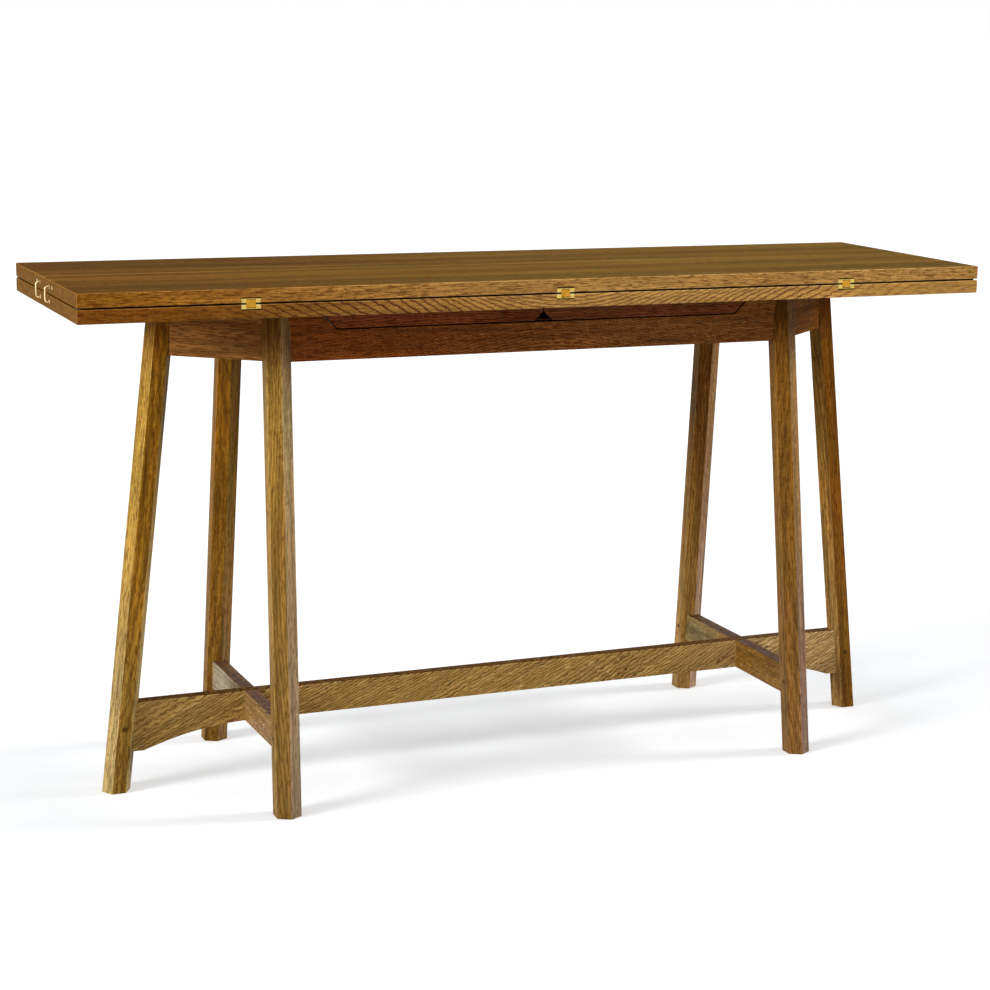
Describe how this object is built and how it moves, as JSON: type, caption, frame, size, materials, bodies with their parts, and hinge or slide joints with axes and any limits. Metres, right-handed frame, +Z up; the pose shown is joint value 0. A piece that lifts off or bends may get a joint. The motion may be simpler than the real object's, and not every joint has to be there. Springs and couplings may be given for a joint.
{
  "type": "folding console table",
  "caption": "Narrow oak console table on splayed hexagonal legs whose top leaf folds over to double its depth, with swing-out leaf supports, brass hinges and brass end clips.",
  "frame": {"origin": "on the floor under the middle of the closed top", "axes": "+X along the table, -Y the hinged front, +Z up"},
  "size_m": [1.4218, 0.4318, 0.76],
  "materials": {
    "oak_top": "oiled",
    "oak_frame": "oiled",
    "dark_peg": "oiled",
    "brass": "satin",
    "link_brass": "satin",
    "steel": "satin",
    "fibre": "matte",
    "felt": "matte"
  },
  "bodies": {
    "base": {"lower_front_board": "oak_top", "lower_second_board": "oak_top", "lower_third_board": "oak_top", "lower_back_board": "oak_top", "left_end_leg": "oak_frame", "left_front_leg": "oak_frame", "left_rear_leg": "oak_frame", "right_end_leg": "oak_frame", "right_front_leg": "oak_frame", "right_rear_leg": "oak_frame", "front_rail": "oak_frame", "rear_rail": "oak_frame", "left_front_corner_rail": "oak_frame", "left_rear_corner_rail": "oak_frame", "right_front_corner_rail": "oak_frame", "right_rear_corner_rail": "oak_frame", "long_stretcher": "oak_frame", "left_cross_stretcher": "oak_frame", "right_cross_stretcher": "oak_frame", "stretcher_pegs": "dark_peg", "fixing_blocks": "oak_frame", "fixing_screws": "steel", "left_hinge_lower_plate": "brass", "middle_hinge_lower_plate": "brass", "right_hinge_lower_plate": "brass", "lower_hinge_screws": "brass", "left_support_pin": "steel", "right_support_pin": "steel", "support_washers": "fibre", "gap_pads": "felt", "left_catch_buttons": "brass", "right_catch_buttons": "brass"},
    "hinge_links": {"left_hinge_link": "link_brass", "middle_hinge_link": "link_brass", "right_hinge_link": "link_brass", "hinge_pins": "link_brass"},
    "upper_leaf": {"upper_front_board": "oak_top", "upper_second_board": "oak_top", "upper_third_board": "oak_top", "upper_back_board": "oak_top", "left_hinge_upper_plate": "brass", "middle_hinge_upper_plate": "brass", "right_hinge_upper_plate": "brass", "upper_hinge_screws": "brass", "left_clip_bushes": "brass", "right_clip_bushes": "brass", "left_rest_buttons": "brass", "right_rest_buttons": "brass"},
    "left_support": {"left_support": "oak_frame"},
    "right_support": {"right_support": "oak_frame"},
    "left_front_clip": {"left_front_clip": "brass"},
    "left_rear_clip": {"left_rear_clip": "brass"},
    "right_front_clip": {"right_front_clip": "brass"},
    "right_rear_clip": {"right_rear_clip": "brass"}
  },
  "joints": [
    {"name": "leaf_turn", "type": "hinge", "parent": "hinge_links", "child": "upper_leaf", "pos_m": [0, -0.20455, 0.74295], "axis": [1, 0, 0], "range_deg": [0, 90]},
    {"name": "link_turn", "type": "hinge", "parent": "base", "child": "hinge_links", "pos_m": [0, -0.20455, 0.73565], "axis": [1, 0, 0], "range_deg": [0, 90]},
    {"name": "left_support_swing", "type": "hinge", "parent": "base", "child": "left_support", "pos_m": [-0.165, -0.11862, 0.7037], "axis": [0, 0, 1], "range_deg": [-90, 0]},
    {"name": "right_support_swing", "type": "hinge", "parent": "base", "child": "right_support", "pos_m": [0.165, -0.11862, 0.7037], "axis": [0, 0, 1], "range_deg": [0, 90]},
    {"name": "left_front_clip_turn", "type": "hinge", "parent": "upper_leaf", "child": "left_front_clip", "pos_m": [-0.704, -0.031, 0.75025], "axis": [1, 0, 0], "range_deg": [-90, 0]},
    {"name": "left_rear_clip_turn", "type": "hinge", "parent": "upper_leaf", "child": "left_rear_clip", "pos_m": [-0.704, 0.031, 0.75025], "axis": [1, 0, 0], "range_deg": [0, 90]},
    {"name": "right_front_clip_turn", "type": "hinge", "parent": "upper_leaf", "child": "right_front_clip", "pos_m": [0.704, -0.031, 0.75025], "axis": [1, 0, 0], "range_deg": [-90, 0]},
    {"name": "right_rear_clip_turn", "type": "hinge", "parent": "upper_leaf", "child": "right_rear_clip", "pos_m": [0.704, 0.031, 0.75025], "axis": [1, 0, 0], "range_deg": [0, 90]}
  ],
  "couplings": [
    {"joint": "link_turn", "follows": "leaf_turn", "ratio": 1}
  ]
}
